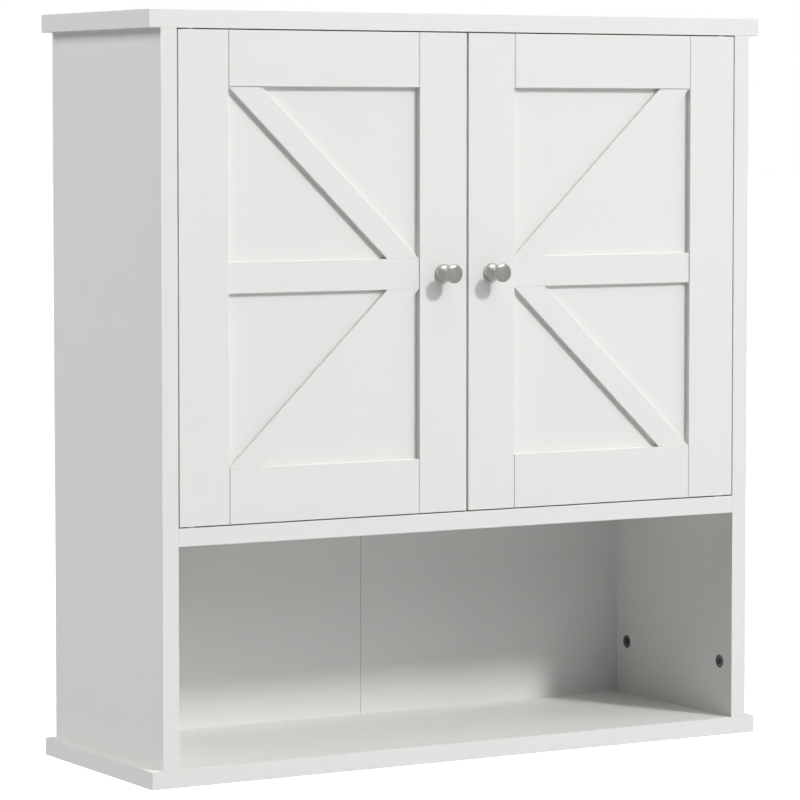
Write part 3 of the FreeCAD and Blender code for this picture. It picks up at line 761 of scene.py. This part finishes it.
@dataclass(frozen=True)
class TurnedKnob:
    """Knob with a domed foot, a short neck and a lens-shaped head, bored for its screw.

    Attributes:
        foot_radius: of the foot's rim.
        foot_rim: height of the straight rim.
        foot_dome: full height of the dome above the rim.
        neck_radius: of the neck.
        head_rear: full half-thickness of the head behind its widest place.
        head_front: widest place to the crown.
        bore_radius: of the hole for the screw.
        bore_deep: of the hole for the screw.
        easing: length over which corners of the outline are eased.
        steps: how many rings the outline is cut into.
        columns: corners of each ring.
        arc_points: points of each part of an ellipse before it is cut into steps.
        easing_points: points whose mean a step is.
    """

    foot_radius: float = 0.0078
    foot_rim: float = 0.0010
    foot_dome: float = 0.0060
    neck_radius: float = 0.0030
    head_rear: float = 0.0030
    head_front: float = 0.0042
    bore_radius: float = 0.0020
    bore_deep: float = 0.0120
    easing: float = 0.0005
    steps: int = 170
    columns: int = 96
    arc_points: int = 80
    easing_points: int = 9

    def _arc(self, widest: float, middle: float, reach: float, first: float, last: float) -> np.ndarray:
        """Part of an ellipse: radius = widest * cos(turn), height = middle + reach * sin(turn).

        Args:
            widest: radius where the turn is 0.
            middle: height where the turn is 0.
            reach: from there to the ellipse's end on the axis.
            first: turn of the first point in radians.
            last: turn of the last point.

        Returns:
            Array of points x (radius, height).
        """
        turns = np.linspace(first, last, self.arc_points)
        return np.stack([widest * np.cos(turns), middle + reach * np.sin(turns)], axis=-1)

    def outline(self, head_radius: float, crown: float) -> np.ndarray:
        """The outline from the bottom of the bore, round the foot and the neck, to the crown.

        Straight stretches and parts of ellipses are laid end to end and cut into even steps. Each step is
        replaced by the mean of the outline over the easing length round it, and past the crown the outline
        goes on as its own mirror image.

        Args:
            head_radius: of the head's widest place.
            crown: height of the crown.

        Returns:
            Array of steps x (radius, height).
        """
        foot_cut = math.acos(self.neck_radius / self.foot_radius)
        head_cut = math.acos(self.neck_radius / head_radius)
        widest_at = crown - self.head_front
        stretches = [
            np.array([[self.bore_radius, self.bore_deep], [self.bore_radius, 0.0], [self.foot_radius, 0.0]]),
            self._arc(self.foot_radius, self.foot_rim, self.foot_dome, 0.0, foot_cut),
            self._arc(head_radius, widest_at, self.head_rear, -head_cut, 0.0)[:-1],
            self._arc(head_radius, widest_at, self.head_front, 0.0, math.pi / 2),
        ]
        rough = np.concatenate(stretches)
        gone = np.concatenate([[0.0], np.cumsum(np.linalg.norm(np.diff(rough, axis=0), axis=1))])
        half_step = 0.5 * gone[-1] / self.steps
        places = np.linspace(self.easing, gone[-1] - half_step, self.steps)
        sampled = places[:, None] + np.linspace(-self.easing / 2, self.easing / 2, self.easing_points)
        mirrored = np.minimum(sampled, 2 * gone[-1] - sampled)
        radii = np.interp(mirrored, gone, rough[:, 0]) * np.where(sampled > gone[-1], -1.0, 1.0)
        heights = np.interp(mirrored, gone, rough[:, 1])
        return np.stack([radii.mean(axis=1), heights.mean(axis=1)], axis=-1)

    def make(self, bench: Bench, side: str) -> None:
        """Makes one knob in the place of its node.

        Args:
            bench: where it is handed over.
            side: "left" or "right".
        """
        node = side + "_door_knob"
        low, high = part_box(node)
        base = ((low.x + high.x) / 2, high.y, (low.z + high.z) / 2)
        outline = self.outline((high.x - low.x) / 2, high.y - low.y)
        radii, heights = (np.repeat(outline[:, i, None], self.columns, axis=1) for i in (0, 1))
        marks = np.linspace(0.0, 1.0, len(outline))
        shell = TurnedShell()
        shell.add(Axis(base, (0.0, -1.0, 0.0)), radii, heights, marks)
        bench.hand_over(shell.to_object(side + "_turned_knob", TURNING), Finish.NICKEL, node)


class HeadShape(Enum):
    """Shapes of a screw's head, each with its flat top's radius as a share of the head's."""

    COUNTERSUNK = 0.97
    PAN = 0.62

    @property
    def flat_share(self) -> float:
        """The flat top's radius as a share of the head's."""
        return self.value


@dataclass(frozen=True)
class Screw:
    """Cross-head screw with its thread.

    Attributes:
        head: shape of the head.
        head_radius: of the head.
        head_high: height of the head.
        shank_radius: over the thread.
        length: whole length with the head.
        pitch: of the thread.
        thread_deep: depth of the thread.
        thread_from: where the thread starts, from the head's top.
        point: length of the tapering end.
        wing_reach: from the axis to the end of the driver's cross, as a share of the head's radius.
        wing_half: half the width of the cross, as a share of the head's radius.
        wing_soft: width of its soft edge, as a share of the head's radius.
        wing_deep: depth of the cross, as a share of the head's height.
        wing_rise: share of that depth that is lost towards the end of a wing.
        rings_on_top: rings of the flat top.
        rings_a_turn: rings of the shank in one turn of the thread.
        columns: corners of each ring.
    """

    head: HeadShape
    head_radius: float
    head_high: float
    shank_radius: float
    length: float
    pitch: float
    thread_deep: float
    thread_from: float
    point: float
    wing_reach: float = 0.52
    wing_half: float = 0.14
    wing_soft: float = 0.06
    wing_deep: float = 0.75
    wing_rise: float = 0.45
    rings_on_top: int = 18
    rings_a_turn: int = 7
    columns: int = 48

    def _recess(self, radii: np.ndarray, turns: np.ndarray) -> np.ndarray:
        """Depth of the driver's cross at points of the head's top.

        A wing is where the distance across it is under its half width and the distance along it under its
        reach, both with a soft edge. Its depth falls off towards its end.

        Args:
            radii: distances from the screw's axis.
            turns: angles round it in radians.

        Returns:
            The depths.
        """
        along, across = np.abs(radii * np.cos(turns)), np.abs(radii * np.sin(turns))
        reach, half = self.wing_reach * self.head_radius, self.wing_half * self.head_radius
        soft = self.wing_soft * self.head_radius

        def wing(way: np.ndarray, off: np.ndarray) -> np.ndarray:
            """Share of the depth in one of the two wings."""
            narrow = np.clip((half - off) / soft + 0.5, 0.0, 1.0)
            short = np.clip((reach - way) / soft + 0.5, 0.0, 1.0)
            return narrow * short * (1.0 - self.wing_rise * np.clip(way / reach, 0.0, 1.0))

        return self.wing_deep * self.head_high * np.maximum(wing(along, across), wing(across, along))

    def _head_side(self) -> list[tuple[float, float]]:
        """The head's outline below its top.

        A countersunk head has a thin straight rim and a cone. A pan head has a quarter round that grows from
        its flat top by 1 - cos(turn) of the height, a straight side and a flat underside.

        Returns:
            Radius and height of each ring, from the head's top edge to the shank.
        """
        radius, high, shank = self.head_radius, self.head_high, self.shank_radius
        if self.head is HeadShape.COUNTERSUNK:
            return [(radius, 0.06 * high), (radius, 0.16 * high), (shank, high)]
        flat = self.head.flat_share
        turns = np.linspace(0.25, 1.0, 7) * math.pi / 2
        dome = [(radius * (flat + (1 - flat) * math.sin(t)), 0.6 * high * (1 - math.cos(t))) for t in turns]
        return dome + [(radius, 0.92 * high), (0.97 * radius, high), (shank, high)]

    def surface(self) -> tuple[np.ndarray, np.ndarray]:
        """Radii and heights of the screw's rings, from the middle of the head's top to the point.

        The thread is a ridge whose height above the core is 1 - |2 * part - 1|, where part is the fraction of
        height / pitch - turn that is left after whole numbers are taken off. It sets in over one pitch.

        Returns:
            Two arrays of rows x columns.
        """
        turns = np.arange(self.columns) * (2 * math.pi / self.columns)
        flat_radii = np.linspace(0.05, 1.0, self.rings_on_top) * self.head_radius * self.head.flat_share
        top = np.repeat(flat_radii[:, None], self.columns, axis=1)
        side = np.array(self._head_side())
        heights = np.arange(self.head_high, self.length, self.pitch / self.rings_a_turn)[1:]
        height = np.repeat(heights[:, None], self.columns, axis=1)
        part = np.mod(height / self.pitch - turns / (2 * math.pi), 1.0)
        cut = np.clip((height - self.thread_from) / self.pitch, 0.0, 1.0) * np.abs(2 * part - 1)
        taper = np.clip((self.length - height) / self.point, 0.04, 1.0) ** 0.8
        shank = (self.shank_radius - self.thread_deep * cut) * taper
        ring = np.ones(self.columns)
        radii = np.concatenate([top, side[:, :1] * ring, shank])
        return radii, np.concatenate([self._recess(top, turns), side[:, 1:] * ring, height])

    def set_in(self, shell: TurnedShell, top: Point, along: Point) -> None:
        """Adds one screw to a shell.

        Args:
            shell: what gathers the screws.
            top: middle of the head's top.
            along: unit direction from the head to the point.
        """
        shell.add(Axis(top, along), *self.surface())


@dataclass(frozen=True)
class Fixings:
    """Every screw of the cabinet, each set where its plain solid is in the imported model.

    Attributes:
        plate: holds a pivot plate or a pivot socket.
        catch: holds the catch under the top panel.
        knob: runs through the door into the knob.
    """

    plate: Screw = Screw(
        head=HeadShape.COUNTERSUNK, head_radius=0.0029, head_high=0.0014, shank_radius=0.0015, length=0.012,
        pitch=0.0011, thread_deep=0.0004, thread_from=0.0022, point=0.0035,
    )
    catch: Screw = Screw(
        head=HeadShape.COUNTERSUNK, head_radius=0.0034, head_high=0.0020, shank_radius=0.00175, length=0.024,
        pitch=0.0013, thread_deep=0.0005, thread_from=0.0080, point=0.0040,
    )
    knob: Screw = Screw(
        head=HeadShape.PAN, head_radius=0.0038, head_high=0.0022, shank_radius=0.0020, length=0.0262,
        pitch=0.0007, thread_deep=0.0003, thread_from=0.0080, point=0.0006,
    )

    @staticmethod
    def _upright(shell: TurnedShell, screw: Screw, boxes: list, middle: float, heads_out: bool) -> None:
        """Sets upright screws into a shell.

        Args:
            shell: what gathers the screws.
            screw: the kind of screw.
            boxes: corners of the plain solids.
            middle: height of the door's middle.
            heads_out: whether the heads face away from the door's middle.
        """
        for low, high in boxes:
            above = (low[2] + high[2]) / 2 > middle
            head_up = above == heads_out
            top = ((low[0] + high[0]) / 2, (low[1] + high[1]) / 2, high[2] if head_up else low[2])
            screw.set_in(shell, top, (0.0, 0.0, -1.0 if head_up else 1.0))

    def make(self, bench: Bench) -> None:
        """Makes every screw and hands it over.

        Args:
            bench: where the screws are handed over.
        """
        nodes = bench.frame["nodes"]
        low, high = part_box("left_door_panel")
        middle = (low.z + high.z) / 2
        rows = [
            ("left_door_pivot_screws", self.plate, True),
            ("right_door_pivot_screws", self.plate, True),
            ("pivot_socket_screws", self.plate, False),
            ("catch_screw", self.catch, False),
        ]
        for node, screw, heads_out in rows:
            shell = TurnedShell()
            self._upright(shell, screw, solid_boxes(nodes[node]), middle, heads_out)
            bench.hand_over(shell.to_object(node + "_cut"), Finish.PLATED_STEEL, node)
        for side in SIDES:
            node = side + "_door_knob_screw"
            low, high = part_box(node)
            shell = TurnedShell()
            top = ((low.x + high.x) / 2, high.y, (low.z + high.z) / 2)
            self.knob.set_in(shell, top, (0.0, -1.0, 0.0))
            bench.hand_over(shell.to_object(node + "_cut"), Finish.PLATED_STEEL, node)


@dataclass(frozen=True)
class FlutedDowels:
    """Beech dowels with pressed flutes and chamfered ends.

    Attributes:
        flutes: number of flutes.
        flute_deep: their depth.
        chamfer: at both ends.
        run_in: share of a flute's depth at the chamfer's inner edge.
        columns_a_flute: corners of each ring for one flute.
    """

    flutes: int = 18
    flute_deep: float = 0.00035
    chamfer: float = 0.0008
    run_in: float = 0.3
    columns_a_flute: int = 6

    def surface(self, radius: float, length: float) -> tuple[np.ndarray, np.ndarray]:
        """Radii and heights of one dowel's rings: radius - flute depth * (1 + cos(flutes * turn)) / 2.

        Args:
            radius: over the ribs.
            length: end to end.

        Returns:
            Two arrays of rows x columns.
        """
        columns = self.flutes * self.columns_a_flute
        turns = np.arange(columns) * (2 * math.pi / columns)
        heights = np.array([0.0, self.chamfer, 2 * self.chamfer, length - 2 * self.chamfer,
                            length - self.chamfer, length])
        shrink = np.array([self.chamfer, 0.0, 0.0, 0.0, 0.0, self.chamfer])
        flute = self.flute_deep * (1 + np.cos(self.flutes * turns)) / 2
        deep = np.array([0.0, self.run_in, 1.0, 1.0, self.run_in, 0.0])
        radii = radius - shrink[:, None] - deep[:, None] * flute
        return radii, np.repeat(heights[:, None], columns, axis=1)

    def make(self, bench: Bench) -> None:
        """Makes the three sets of dowels.

        Args:
            bench: where the dowels are handed over.
        """
        for name in ("dowels_panels", "dowels_shelf", "dowels_rail"):
            shell = TurnedShell()
            for low, high in solid_boxes(bench.frame["nodes"][name]):
                size = high - low
                way = int(np.argmax(size))
                start = (low + high) / 2
                start[way] = low[way]
                along = tuple(np.eye(3)[way].tolist())
                shell.add(Axis(tuple(start), along), *self.surface(size.min() / 2, size[way]))
            bench.hand_over(shell.to_object(name + "_fluted"), Finish.BEECH, name)


@dataclass(frozen=True)
class SoftBox:
    """A round soft box aimed at the middle of the cabinet.

    Attributes:
        name: the light's name.
        azimuth: degrees to the right of the cabinet's front, seen by someone facing it.
        elevation: degrees above the level.
        distance: from the cabinet's middle, in metres.
        size: the box's diameter.
        power: in watts.
        lights: whether the box lights matt surfaces.
        mirrored: whether gloss and metal show the box.
    """

    name: str
    azimuth: float
    elevation: float
    distance: float
    size: float
    power: float
    lights: bool = True
    mirrored: bool = False

    def set_up(self, centre: Vector) -> None:
        """Adds the light.

        Args:
            centre: the middle of the cabinet.
        """
        data = bpy.data.lights.new(self.name, "AREA")
        data.shape = "DISK"
        data.size = self.size
        data.energy = self.power
        thing = bpy.data.objects.new(self.name, data)
        across, up = math.radians(self.azimuth), math.radians(self.elevation)
        way = Vector((math.sin(across) * math.cos(up), -math.cos(across) * math.cos(up), math.sin(up)))
        thing.location = centre + way * self.distance
        thing.rotation_euler = way.to_track_quat("Z", "Y").to_euler()
        thing.visible_diffuse = self.lights
        thing.visible_glossy = self.mirrored
        bpy.context.scene.collection.objects.link(thing)


SOFT_BOXES = (
    SoftBox("key", azimuth=26.0, elevation=36.7, distance=8.0, size=1.0, power=373.0),
    SoftBox("ceiling", azimuth=24.0, elevation=73.0, distance=3.0, size=3.2, power=46.0,
            lights=False, mirrored=True),
    SoftBox("overhead", azimuth=-10.0, elevation=70.0, distance=6.0, size=3.6, power=84.0),
    SoftBox("left_back", azimuth=-112.0, elevation=34.0, distance=8.0, size=5.0, power=452.0),
    SoftBox("right_fill", azimuth=60.0, elevation=15.0, distance=8.0, size=5.0, power=165.0),
    SoftBox("front_fill", azimuth=15.0, elevation=31.0, distance=8.0, size=5.0, power=119.0),
    SoftBox("back_fill", azimuth=160.0, elevation=5.0, distance=8.0, size=5.0, power=190.0),
)


@dataclass(frozen=True)
class Studio:
    """Floor, lights, world and camera.

    Attributes:
        centre: the middle of the cabinet.
        low: height of the cabinet's underside.
        floor_drop: from the cabinet's underside to the floor.
        floor_reach: from the cabinet to the floor's edges.
        floor_glow: brightness that keeps the floor white where it is seen.
        room_glow: brightness of the room in gloss and metal.
        lens: the camera's focal length in millimetres.
        yaw: the camera's turn round the upright, in degrees.
        pitch: the camera's tilt from straight down, in degrees.
        camera_at: the camera's place.
        camera_shift: the lens's upward shift, as a share of the picture's width.
    """

    centre: Vector
    low: float
    floor_drop: float = 0.55
    floor_reach: float = 60.0
    floor_glow: float = 1.06
    room_glow: float = 0.57
    lens: float = 171.2
    yaw: float = -30.239
    pitch: float = 86.443
    camera_at: Point = (-1.6730, -2.9612, -0.0473)
    camera_shift: float = -0.05

    def camera(self) -> None:
        """Sets the camera where the cabinet is seen from its front left, a little from above."""
        data = bpy.data.cameras.new("camera")
        data.lens = self.lens
        data.shift_y = self.camera_shift
        thing = bpy.data.objects.new("camera", data)
        thing.location = self.camera_at
        thing.rotation_euler = (math.radians(self.pitch), 0.0, math.radians(self.yaw))
        bpy.context.scene.collection.objects.link(thing)
        bpy.context.scene.camera = thing

    def world(self) -> None:
        """Sets the white room: pure white where it is seen, and bright where gloss and metal show it.

        The room is bright in front and fades a little towards the wall side: the share is
        0.75 - 0.25 * depth, where depth is 1 straight behind the cabinet and -1 straight in front of it.
        """
        world = bpy.data.worlds.new("white_room")
        bpy.context.scene.world = world
        world.use_nodes = True
        world.cycles.sampling_method = "NONE"
        sheet = Sheet(world.node_tree)
        seen = sheet.node("ShaderNodeLightPath", None, None, "Is Camera Ray")
        gloss = sheet.node("ShaderNodeLightPath", None, None, "Is Glossy Ray")
        way = sheet.node("ShaderNodeTexCoord", None, None, "Generated")
        depth = sheet.node("ShaderNodeSeparateXYZ", None, {"Vector": way}, "Y")
        share = 0.75 - depth * 0.25
        strength = seen + gloss * share * self.room_glow
        white = (1.0, 1.0, 1.0, 1.0)
        shine = sheet.node("ShaderNodeBackground", None, {"Color": white, "Strength": strength})
        sheet.node("ShaderNodeOutputWorld", None, {"Surface": shine})

    def floor(self) -> None:
        """Lays a wide pale floor below the cabinet."""
        steps = np.linspace(-self.floor_reach, self.floor_reach, 3)
        x, y = np.meshgrid(steps, steps)
        z = np.full_like(x, self.low - self.floor_drop)
        mesh = bpy.data.meshes.new("floor")
        points = np.stack([x, y, z], axis=-1).reshape(-1, 3)
        index = np.arange(x.size).reshape(x.shape)
        quads = np.stack([index[:-1, :-1], index[:-1, 1:], index[1:, 1:], index[1:, :-1]], axis=-1)
        mesh.from_pydata(points.tolist(), [], quads.reshape(-1, 4).tolist())
        floor = show("floor", mesh)
        sheet = Surface("pale_floor")
        tone = sheet.blend(sheet.noise(sheet.place(), 3.0), (0.52, 0.52, 0.52), (0.50, 0.50, 0.50))
        seen = sheet.node("ShaderNodeLightPath", None, None, "Is Camera Ray")
        floor.data.materials.append(sheet.finish({
            "Base Color": tone,
            "Roughness": 0.8,
            "Emission Color": sheet.blend(seen, (0.0, 0.0, 0.0), (1.0, 1.0, 1.0)),
            "Emission Strength": self.floor_glow,
        }))
        floor.visible_glossy = False
        floor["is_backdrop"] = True

    def build(self) -> None:
        """Sets up the whole studio."""
        bpy.context.scene.view_settings.view_transform = "Standard"
        self.camera()
        self.world()
        for box in SOFT_BOXES:
            box.set_up(self.centre)
        self.floor()


def dress_frame(shop: PaintShop, frame: dict) -> None:
    """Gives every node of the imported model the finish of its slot.

    Args:
        shop: where the finishes come from.
        frame: the loaded frame.
    """
    finishes = {finish.slot: finish for finish in Finish}
    for part in frame["record"]["subparts"]:
        node = frame["nodes"][part["node"]]
        shop.dress(node, finishes[part["material_slot"]])
        LOG.info("%s: %s", part["node"], part["material_slot"])


def dress_door_rails(frame: dict) -> None:
    """Gives the doors' rails a paint with hairlines where the rails meet the stiles.

    The doors mirror each other, so the left door's stiles give the seams' distances from the middle.

    Args:
        frame: the loaded frame.
    """
    outer_stile, inner_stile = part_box("left_door_outer_stile"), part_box("left_door_inner_stile")
    door_paint = Finish.DOOR_PAINT.value[1]
    paint = replace(door_paint, seams=(abs(outer_stile[1].x), abs(inner_stile[0].x))).make("door_rail_paint")
    for side in SIDES:
        for rail in ("_door_top_rail", "_door_bottom_rail"):
            frame["nodes"][side + rail].data.materials[0] = paint
            LOG.info("%s: %s", side + rail, paint.name)


def main() -> None:
    """Builds the looks in order, with the studio placed by the cabinet's lowest and highest corners."""
    logging.basicConfig(level=logging.INFO, format="%(message)s")
    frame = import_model()
    packed = [[float(c) for c in corner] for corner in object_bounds()]
    low, high = (Vector(corner) for corner in packed)
    shop = PaintShop()
    dress_frame(shop, frame)
    dress_door_rails(frame)
    bench = Bench(frame, shop)
    for side in SIDES:
        TurnedKnob().make(bench, side)
    Fixings().make(bench)
    FlutedDowels().make(bench)
    Studio(centre=(low + high) / 2, low=low.z).build()


if __name__ == "__main__":
    main()
